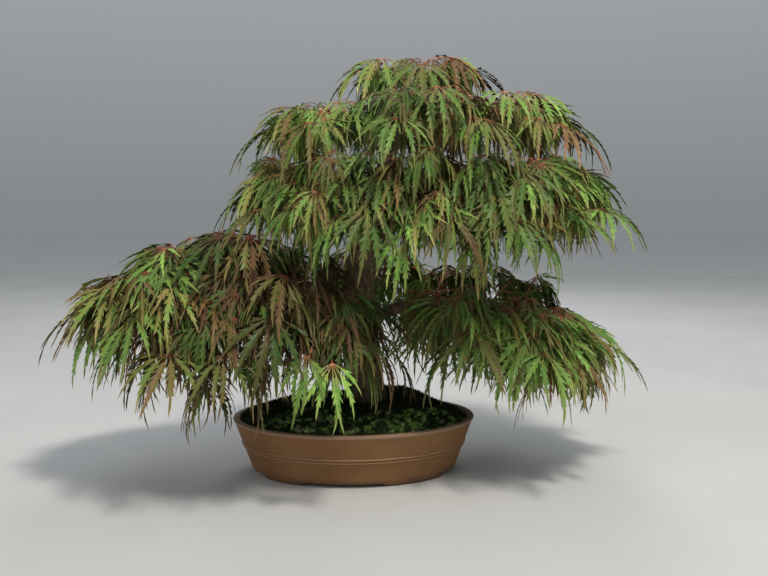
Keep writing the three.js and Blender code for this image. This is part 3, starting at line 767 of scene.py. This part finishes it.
def to_oval(x, y):
    radius = np.hypot(x, y)
    extra = OVAL_EXTRA_LENGTH * np.minimum(1, radius / OVAL_BLEND_RADIUS)
    return x + extra * x / np.maximum(radius, 1e-9)


def recess_lift(points):
    """How far the foot ring is cut back from the ground at each point."""
    front = FRONT_RECESS_HALF_LENGTH + RECESS_SLOPE - np.abs(points[:, 0] - FRONT_RECESS_CENTRE)
    end = END_RECESS_HALF_LENGTH + RECESS_SLOPE - np.abs(points[:, 1])
    return RECESS_HEIGHT * np.clip(np.maximum(front, end) / RECESS_SLOPE, 0, 1)


def make_pot(material):
    profile = np.array(pot_profile())
    angles = round_angles(POT_SEGMENTS)
    x = np.outer(profile[:, 0], np.cos(angles)).ravel()
    y = np.outer(profile[:, 0], np.sin(angles)).ravel()
    z = np.repeat(profile[:, 1], POT_SEGMENTS)
    points = np.column_stack([to_oval(x, y), y, z])
    lift = recess_lift(points) * (1 - z / POT_FLOOR_BOTTOM)
    points[:, 2] += np.where(z < POT_FLOOR_BOTTOM, lift, 0)
    points = np.vstack([points, (0, 0, POT_FLOOR_BOTTOM), (0, 0, POT_FLOOR_TOP)])
    faces = [face[::-1] for face in loft_faces(len(profile), POT_SEGMENTS)]
    parts = Parts()
    parts.add(points, faces)
    pot = parts.make("clay_pot", material, smooth=len(faces))
    cut_drain_holes(pot)
    dress(pot, "pot_clay", "pot")


def cut_drain_holes(pot):
    for x in (-DRAIN_HOLE_X, DRAIN_HOLE_X):
        bpy.ops.mesh.primitive_cylinder_add(
            vertices=40, radius=DRAIN_HOLE_RADIUS * METRES, depth=0.03,
            location=(x * METRES, 0, POT_FLOOR_TOP * METRES))
        cutter = bpy.context.object
        cut = pot.modifiers.new("hole", "BOOLEAN")
        cut.object = cutter
        cut.solver = "EXACT"
        apply_modifiers(pot)
        bpy.data.objects.remove(cutter)
    pot.data.set_sharp_from_angle(angle=math.radians(40))


def apply_modifiers(piece):
    graph = bpy.context.evaluated_depsgraph_get()
    mesh = bpy.data.meshes.new_from_object(piece.evaluated_get(graph))
    piece.modifiers.clear()
    piece.data = mesh


# Moss
def moss_surface(x, y):
    """Height of the moss: the mound with broad lumps, a hump and small cushions."""
    half_width = wall_radius(MOSS_EDGE_HEIGHT) - POT_WALL - MOUND_GAP
    along = x / (half_width + OVAL_EXTRA_LENGTH)
    share = min(1, math.hypot(along, y / half_width))
    height = MOSS_EDGE_HEIGHT + (MOUND_TOP - MOSS_EDGE_HEIGHT) * (1 - share**2) ** MOUND_POWER
    lump = math.sin(x * 0.13 + 1.3) * math.sin(y * 0.16 + 0.4) + math.sin(x * 0.07 - y * 0.11)
    sink = MOSS_EDGE_DROP * share**3 * max(0, along)
    from_hump = math.hypot(*((at - middle) / size for at, middle, size in
                             zip((x, y), MOSS_HUMP_PLACE, MOSS_HUMP_SIZE)))
    hump = MOSS_HUMP * math.exp(-from_hump**3)
    cushion = sum(size * noise.noise(Vector((x, y, 0)) * pitch + Vector(start))
                  for size, pitch, start in CUSHIONS)
    return height + MOSS_LUMP * lump - sink + hump + cushion * (1 - CUSHION_FADE * share)


def make_moss(material):
    rim = wall_radius(MOSS_EDGE_HEIGHT - MOSS_EDGE_DROP) - POT_WALL - MOSS_GAP
    underside = MOSS_EDGE_HEIGHT - MOSS_SIDE_HEIGHT
    angles = round_angles(MOSS_SEGMENTS)
    points = []
    for ring in range(1, MOSS_RINGS + 1):
        radius = rim * (ring / MOSS_RINGS) ** MOSS_RING_SPREAD
        y = radius * np.sin(angles)
        x = to_oval(radius * np.cos(angles), y)
        points += [(px, py, moss_surface(px, py)) for px, py in zip(x, y)]
    points += [(px * MOSS_UNDER_SHARE, py * MOSS_UNDER_SHARE, underside)
               for px, py, _ in points[-MOSS_SEGMENTS:]]
    points += [(0, 0, moss_surface(0, 0)), (0, 0, underside)]
    faces = loft_faces(MOSS_RINGS + 1, MOSS_SEGMENTS)
    parts = Parts()
    parts.add(points, faces, tip=0.0)
    add_tufts(parts, rim)
    dress(parts.make("moss_carpet", material, smooth=len(faces)), "moss", "moss")


def add_tufts(parts, rim):
    """Starry tufts of narrow spikes, all over the moss and then along its rim, with painted light."""
    draw = number_row(TUFT_SEED)
    for on_rim, (count, blades, thickness, foot_share) in enumerate(TUFTS):
        for _ in range(count):
            if on_rim:
                angle = -math.pi * between(draw, *RIM_ARC)
                radius = (rim - 1) * (1 - RIM_BAND * draw() ** RIM_CROWDING)
            else:
                angle = draw() * 2 * math.pi
                radius = (rim - 1) * math.sqrt(draw())
            y = radius * math.sin(angle)
            x = float(to_oval(radius * math.cos(angle), y))
            if math.dist((x, y), TRUNK_POINTS[1][:2]) < TRUNK_RADII[2]:
                continue
            root = Vector((x, y, moss_surface(x, y) - TUFT_SINK))
            if on_rim:
                size = 3.5 + 4 * draw()
                # Patches of painted light brighten the rim tufts, on top of a random tone
                painted_light_patch = clip(0.4 + 3.2 * noise.noise(root * PAINTED_LIGHT_PATCH_PITCH))
                tone = (0.05 + 0.95 * draw() ** 1.5) * painted_light_patch
            else:
                size = 3 + 3 * draw() ** 2
                # A random tone, brighter towards the front as painted light
                tone = draw() ** 2 * (0.03 + 0.12 * clip((TUFT_PAINTED_LIGHT_FRONT - y) / TUFT_PAINTED_LIGHT_FADE))
            tones_and_painted_light = np.array([tone * foot_share] * 3 + [tone])
            for blade in range(blades):
                turn = (blade + draw()) * 2 * math.pi / blades
                add_spike(parts, root, size, turn, 0.35 + 0.6 * draw(), thickness, tones_and_painted_light)


def add_spike(parts, root, size, turn, lean, thickness, tones_and_painted_light):
    """A three-sided spike that leans out from the root."""
    out = Vector((math.cos(turn), math.sin(turn), 0))
    tip = root + (out * lean + Vector((0, 0, 1.1 - 0.4 * lean))) * size
    across = Vector((-math.sin(turn), math.cos(turn), 0)) * size * thickness
    points = [root - across, root + across, root + out * size * 0.2, tip]
    parts.add(points, [(0, 1, 3), (1, 2, 3), (2, 0, 3)], tip=tones_and_painted_light)


# Trunk and limbs
def trunk_radius(place, angles):
    step = place * (len(TRUNK_RADII) - 1)
    low = min(int(step), len(TRUNK_RADII) - 2)
    radius = TRUNK_RADII[low] + (TRUNK_RADII[low + 1] - TRUNK_RADII[low]) * (step - low)
    flare = max(0, 1 - curve_point(TRUNK_POINTS, place)[2] / ROOT_FADE_HEIGHT)
    return radius * (1 + ROOT_SWELL * flare * np.cos(ROOT_COUNT * angles))


def limb_points(limb):
    _, at, _, path, _ = limb
    return np.array([curve_point(TRUNK_POINTS, at), *path], float)


def make_wood(material):
    parts = Parts()
    parts.add(*tube(along_curve(TRUNK_POINTS, TRUNK_RINGS), trunk_radius, TRUNK_SIDES))
    for limb in LIMBS:
        points, radius = limb_points(limb), limb[2]
        centres = along_curve(points, LIMB_RINGS * len(points))
        parts.add(*tube(centres, lambda place, angles: (
            radius + (LIMB_END_RADIUS - radius) * place**LIMB_TAPER), LIMB_SIDES))
    wood = parts.make("wood", material)
    skin = wood.modifiers.new("skin", "REMESH")
    skin.mode = "VOXEL"
    skin.voxel_size = WOOD_VOXEL * METRES
    soften = wood.modifiers.new("soften", "SMOOTH")
    soften.iterations = 4
    apply_modifiers(wood)
    roughen_bark(wood.data)
    wood.data.shade_smooth()
    dress(wood, "bark", "trunk")


def roughen_bark(mesh):
    """Furrows that run along the trunk, with a value for how deep a point lies in one, for painted
    shade.
    """
    count = len(mesh.vertices)
    points, normals = np.empty(count * 3), np.empty(count * 3)
    mesh.vertices.foreach_get("co", points)
    mesh.vertices.foreach_get("normal", normals)
    points, normals = points.reshape(-1, 3) / METRES, normals.reshape(-1, 3)
    centres = np.array(along_curve(TRUNK_POINTS, 60))
    nearest = centres[np.abs(points[:, 2:] - centres[:, 2]).argmin(axis=1)]
    away = np.hypot(*(points - nearest)[:, :2].T)
    on_trunk = np.clip(1 - (away - BARK_REACH) / BARK_FADE, 0, 1)
    size = np.minimum(1, LEAST_BARK + on_trunk * (BARK_TOP - points[:, 2]) / BARK_FADE_HEIGHT)
    furrow, knot, fine = np.array([
        [noise.noise(Vector(point) * grain) for grain in BARK_GRAINS] for point in points]).T
    groove = np.clip(FURROW_WIDTH - np.abs(furrow), 0, None) / FURROW_WIDTH
    move = size * (knot * KNOT_HEIGHT - groove * FURROW_DEPTH + fine * FINE_HEIGHT)
    points += normals * move[:, None]
    mesh.vertices.foreach_set("co", (points * METRES).ravel())
    set_values(mesh, "furrow_shade", groove * size)
    mesh.update()


# Leaves
def lobe_shape(place):
    """Width of a lobe along its length as a share of its greatest, narrow at the foot and the tip."""
    peak = LOBE_RISE / (LOBE_RISE + LOBE_FALL)
    greatest = peak**LOBE_RISE * (1 - peak) ** LOBE_FALL
    return place**LOBE_RISE * (1 - place) ** LOBE_FALL / greatest


def leaf_template(draw, plain=False):
    """A flat leaf of length 1, with fewer lobes and teeth where it is plain.

    Each point has the turn of its lobe, its distance from the stalk, its offset from the rib and its
    lift, all for the lobe laid out straight.
    """
    points, faces = [], []

    def put(turn, distance, offset, lift, is_rib, bend=0, droop=1, share=1):
        shade = LOBE_TONE * math.sin(turn * LOBE_TONE_WAVE)
        points.append((math.radians(turn), distance, offset + bend * distance**2, lift,
                       distance / share, is_rib, droop, shade))
        return len(points) - 1

    def face(one, two, three, flip):
        """Adds the face above and the one below it. A point on a rib is (upper, lower)."""
        upper, lower = zip(*(p if isinstance(p, tuple) else (p, p) for p in (one, two, three)))
        faces.extend((upper[::-1], lower) if flip else (upper, lower[::-1]))

    hub = (put(0, 0, 0, 0, 1), put(0, 0, 0, -2 * RIB_DEPTH, 1))
    first_notch = notch = put(-BACK_NOTCH_TURN, NOTCH_RADIUS, 0, 0, 0.5)
    lobes = LOBES if draw() < NINE_LOBED else LOBES[1:-1]
    if plain:
        lobes = [(turn, share, (teeth + 1) // 2) for turn, share, teeth in LOBES[2:-2]]
    for index, (lobe_turn, lobe_share, teeth) in enumerate(lobes):
        more_turn, longer, bend, more_droop, wider = (spread(draw, by) for by in LOBE_RANGES)
        turn = lobe_turn + more_turn
        share = lobe_share * (1 + longer)
        droop = 1 + SIDE_LOBE_DROOP * abs(lobe_turn) + more_droop
        width = LOBE_HALF_WIDTH * math.sqrt(share) * (1 + wider)
        is_last = index == len(lobes) - 1
        next_turn = BACK_NOTCH_TURN if is_last else (lobe_turn + lobes[index + 1][0]) / 2
        next_notch = put(next_turn, NOTCH_RADIUS, 0, 0, 0.5)
        places = np.linspace(FIRST_TOOTH, LAST_TOOTH, teeth + 1)

        def on_lobe(place, offset, lift, is_rib):
            return put(turn, share * place, offset, lift, is_rib, bend, droop, share)

        ribs = [(on_lobe(place, 0, 0, 1), on_lobe(place, 0, -RIB_DEPTH * (1.3 - place), 1))
                for place in places[:-1]]
        tip = on_lobe(1, 0, 0, 0.6)
        for sign, start in ((-1, notch), (1, next_notch)):
            flip = sign > 0
            cuts, points_out = [], []
            for place, after in zip(places, places[1:]):
                cut = width * lobe_shape(place) * between(draw, *TOOTH_CUT)
                swept = min(FURTHEST_TOOTH, after + (after - place) * between(draw, *TOOTH_SWEEP))
                out = width * lobe_shape(swept) * between(draw, *TOOTH_REACH)
                cuts.append(on_lobe(place, sign * cut, BLADE_FOLD * cut, 0.3))
                points_out.append(on_lobe(swept, sign * out, BLADE_FOLD * out, 0))
            face(hub, start, cuts[0], flip)
            face(hub, cuts[0], ribs[0], flip)
            for step in range(teeth):
                face(ribs[step], cuts[step], points_out[step], flip)
                if step == teeth - 1:
                    face(ribs[step], points_out[step], tip, flip)
                else:
                    face(ribs[step], points_out[step], cuts[step + 1], flip)
                    face(ribs[step], cuts[step + 1], ribs[step + 1], flip)
        notch = next_notch
    face(hub, notch, first_notch, False)
    return np.array(points), np.array(faces)


def place_leaf(parts, template, leaf):
    """Bends a template into a leaf that hangs from the end of its stalk. Each lobe is an arc."""
    turn, distance, offset, lift, along, rib, sag, shade = template[0].T
    heading, pitch, roll = (math.radians(leaf[key]) for key in ("heading", "pitch", "roll"))
    out = np.array([math.cos(heading), math.sin(heading), 0])
    forward = out * math.cos(pitch) - UP * math.sin(pitch)
    level = np.cross(UP, out)
    side = level * math.cos(roll) + np.cross(forward, level) * math.sin(roll)
    normal = np.cross(forward, side)
    stalk = unit(out + UP * leaf["rise"])
    foot, reach = leaf["foot"], stalk * leaf["stalk"]
    hub = foot + reach

    turn = turn * leaf["fan"]
    bend = math.radians(leaf["bend"]) * sag
    fallen = (bend * distance)[:, None]
    arc_radius = (leaf["length"] / bend)[:, None]
    straight = np.outer(np.cos(turn), forward) + np.outer(np.sin(turn), side)
    across = np.outer(np.cos(turn), side) - np.outer(np.sin(turn), forward)
    down = straight * straight[:, 2:] - UP
    down /= np.linalg.norm(down, axis=1)[:, None]
    tangent = straight * np.cos(fallen) + down * np.sin(fallen)
    above = np.cross(tangent, across)
    blade = hub + arc_radius * (straight * np.sin(fallen) + down * (1 - np.cos(fallen)))
    blade += leaf["length"] * (across * offset[:, None] + above * lift[:, None])
    tone = np.clip(leaf["tone"] + shade, 0, 1)
    parts.add(blade, template[1], LEAF_FINISH, along=along, rib=rib, tone=tone, light=leaf["light"])

    bow = UP * leaf["stalk"] * PETIOLE_BOW
    centres = [foot - stalk * PETIOLE_OVERLAP, foot + reach * 0.35 + bow, foot + reach * 0.7 + bow,
               hub - normal * PETIOLE_OVERLAP]
    add_stalk(parts, centres, PETIOLE_RADII, PETIOLE_SIDES, PETIOLE_FINISH)


def heading_of(way):
    return math.degrees(math.atan2(way[1], way[0]))


def arched(base, end, arch, middle=0.5):
    """A leader from base to end, as three points of a curve. arch is a share of its length."""
    length = np.linalg.norm(end - base)
    return base, base + (end - base) * middle + UP * arch * length, end


def spray_list():
    """The sprays with the leaves that the frame's solids have, drawn in the same order."""
    sprays = []
    draw = number_row(LEAF_SEED)
    for limb in LIMBS:
        name, points = limb[0], limb_points(limb)
        length = LEAF_LENGTH * LEAF_LENGTH_SHARES.get(name, CROWN_LENGTH_SHARE)
        for number, (start, tip, leaf_count) in enumerate(limb[4], 1):
            base, end = curve_point(points, start), np.array(tip, float)
            leader = arched(base, end, 2 * LEADER_ARCH, LEADER_MIDDLE)
            heading = heading_of(end - base)
            leaves = [{
                "foot": leader_point(leader, place),
                "stalk": stalk,
                "heading": heading + turn + spread(draw, LEAF_TURN_RANGE),
                "pitch": LEAF_PITCH + spread(draw, LEAF_PITCH_RANGE),
                "roll": spread(draw, LEAF_ROLL_RANGE),
                "length": length * (1 + spread(draw, LEAF_LENGTH_RANGE)),
                **SEAT_LEAF,
            } for place, turn, stalk in LEAF_SEATS[:leaf_count]]
            sprays.append({"name": f"{name}_{number}", "limb": name, "leader": leader,
                           "heading": heading, "leaves": leaves})
    return sprays


def leaves_along(leader, heading, pairs, size, draw):
    """Pairs of leaves along a leader, turned from pair to pair. size scales them."""
    leaves = []
    for pair in range(pairs):
        share = ((pair + 0.5) / pairs) ** PAIR_CROWDING
        place = FIRST_PAIR + PAIR_SPAN * share + spread(draw, PAIR_RANGE)
        turn, least_rise = PAIR_KINDS[pair % 2]
        for sign in (-1, 1):
            leaves.append({
                "foot": leader_point(leader, place),
                "stalk": (PAIR_STALK_AT_FOOT * (1 - place) + between(draw, *PAIR_STALK)) * size,
                "rise": between(draw, least_rise, PAIR_RISE),
                "heading": heading + sign * turn + spread(draw, PAIR_TURN_RANGE),
                "pitch": between(draw, PAIR_PITCH_AT_TIP * place, PAIR_PITCH),
                "roll": spread(draw, PAIR_ROLL_RANGE),
                "length": between(draw, *PAIR_LENGTH) * size,
                "bend": between(draw, *PAIR_BEND),
                "fan": PAIR_FAN,
                "plain": place < PLAIN_BELOW,
            })
    return leaves


def companion(spray, draw):
    """A second leader above the first, which fills the space up to the next tier."""
    base, _, end = spray["leader"]
    rise = COMPANION_RISES.get(spray["limb"], CROWN_RISE) + spread(draw, RISE_RANGE)
    tip = base + (end - base) * between(draw, *COMPANION_REACH) + UP * rise
    return arched(base, tip, 2 * COMPANION_ARCH)


def side_shoot(spray, start, tip):
    """A shorter leader that leaves a spray's own one and ends at tip."""
    return arched(leader_point(spray["leader"], start), tip, SHOOT_ARCH)


def end_leaf(leader):
    """A leaf at the end of a shoot, in line with it."""
    return {"foot": leader[2], "heading": heading_of(leader[2] - leader[0]), **SHOOT_LEAF}


def trail(spray):
    start, reach, drop = TRAILS[spray["limb"]]
    base, end = leader_point(spray["leader"], start), spray["leader"][2]
    return side_shoot(spray, start, base + (end - base) * reach - UP * drop)


def listed_shoots(spray, listed):
    """Shoots of a spray that a table lists, each with its leader in the place of its start and tip."""
    return [(side_shoot(spray, start, np.array(tip, float)), *rest)
            for start, tip, *rest in listed.get(spray["name"], [])]


def grow(parts, spray, shoots, draw):
    """Adds the leaders of shoots and gives their leaves. The listed ones have a leaf at the end."""
    leaves = []
    for leader, pairs, *shifts in shoots:
        add_leader(parts, leader)
        grown = leaves_along(leader, spray["heading"], pairs, spray["size"], draw)
        if shifts:
            grown.append(end_leaf(leader))
        tone, light = shifts or (0, 0)
        leaves += [{**leaf, "tone": tone, "light": light} for leaf in grown]
    return leaves


def place_leaves(parts, spray, leaves, draw, templates):
    """Draws the colour, the painted light and the template of each leaf. Its tone and light come in as
    shifts.
    """
    for leaf in leaves:
        tone = clip(spray["tone"] + spread(draw, TONE_RANGE), GREENEST)
        light = spray["light"] + leaf["light"] + spread(draw, LIGHT_RANGE)
        choice = templates[leaf["plain"]]
        template = choice[int(draw() * len(choice))]
        place_leaf(parts, template, {**leaf, "tone": clip(tone + leaf["tone"]), "light": clip(light)})


def make_sprays(*materials):
    draw, edge_draw = number_row(MORE_SEED), number_row(EDGE_SEED)
    templates = {
        False: [leaf_template(draw) for _ in range(TEMPLATE_COUNT)],
        True: [leaf_template(draw, plain=True) for _ in range(PLAIN_TEMPLATE_COUNT)],
    }
    for index, spray in enumerate(spray_list()):
        slot, tone, light = SLOTS[index % len(SLOTS)]
        limb, name = spray["limb"], spray["name"]
        spray["size"] = LEAF_SIZES.get(limb, CROWN_LEAF_SIZE)
        spray["tone"] = tone + TONE_SHIFTS.get(name, TONE_SHIFTS.get(limb, 0))
        spray["light"] = light + LIGHT_SHIFTS.get(name, LIGHT_SHIFTS.get(limb, 0))
        more = 0 if limb.endswith("_low") else CROWN_PAIRS_MORE
        if limb == "apex":
            shoots = [(spray["leader"], APEX_PAIRS)]
        else:
            shoots = [(spray["leader"], PAIRS + more), (companion(spray, draw), COMPANION_PAIRS + more)]
        if limb in TRAILS:
            shoots.append((trail(spray), TRAIL_PAIRS))
        parts = Parts()
        leaves = spray["leaves"] + grow(parts, spray, shoots + listed_shoots(spray, SHOOTS), draw)
        place_leaves(parts, spray, leaves, draw, templates)
        leaves = grow(parts, spray, listed_shoots(spray, EDGE_SHOOTS), edge_draw)
        place_leaves(parts, spray, leaves, edge_draw, templates)
        dress(parts.make(f"leaves_{name}", *materials), slot, f"spray_{name}")


def add_leader(parts, leader):
    centres = [leader_point(leader, place) for place in np.linspace(0.02, 1, LEADER_RINGS)]
    add_stalk(parts, centres, LEADER_RADII, LEADER_SIDES, TWIG_FINISH)


# Floor, lights and camera
def make_stage():
    bpy.ops.mesh.primitive_circle_add(vertices=96, radius=14, fill_type="NGON")
    floor = bpy.context.object
    floor.name = "floor"
    finish = Finish("floor", 0.9, 0)
    finish.colour(finish.ramp(finish.noise(3, 3), (0.3, 0.46), (0.7, 0.5)))
    floor.data.materials.append(finish.material)


def make_lights():
    for name, (place, size, power, colour) in LIGHTS.items():
        light = bpy.data.lights.new(name, "AREA")
        light.shape = "DISK"
        light.size = size
        light.energy = power
        light.color = colour
        lamp = add_object(name, light)
        lamp.location = place
        lamp.rotation_euler = (Vector(LIGHT_AIM) - Vector(place)).to_track_quat("-Z", "Y").to_euler()
    world = bpy.data.worlds.new("studio")
    bpy.context.scene.world = world
    bpy.context.scene.view_settings.view_transform = "Standard"
    sky = Nodes(world, "Background", "Generated")
    sky.put(sky.shader.inputs["Color"], sky.ramp(sky.height(), (0, WORLD_LOW), (0.6, WORLD_HIGH)))


def make_camera():
    camera = bpy.data.cameras.new("camera")
    camera.sensor_width = 36
    camera.lens = 39.84
    holder = add_object("camera", camera)
    holder.location = (-0.0227, -1.2454, 0.380)
    holder.rotation_euler = (math.radians(90 - CAMERA_TILT), 0, math.radians(CAMERA_TURN))
    bpy.context.scene.camera = holder


def finish_carried_nodes():
    for node, material in (("soil", soil_material()), ("drain_mesh_left", mesh_material()),
                           ("drain_mesh_right", mesh_material())):
        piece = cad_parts[node]
        piece.data.materials.clear()
        piece.data.materials.append(material)


make_camera()
make_lights()
make_stage()
finish_carried_nodes()
make_pot(clay_material())
make_moss(moss_material())
make_wood(bark_material())
make_sprays(leaf_material(), petiole_material(), twig_material())
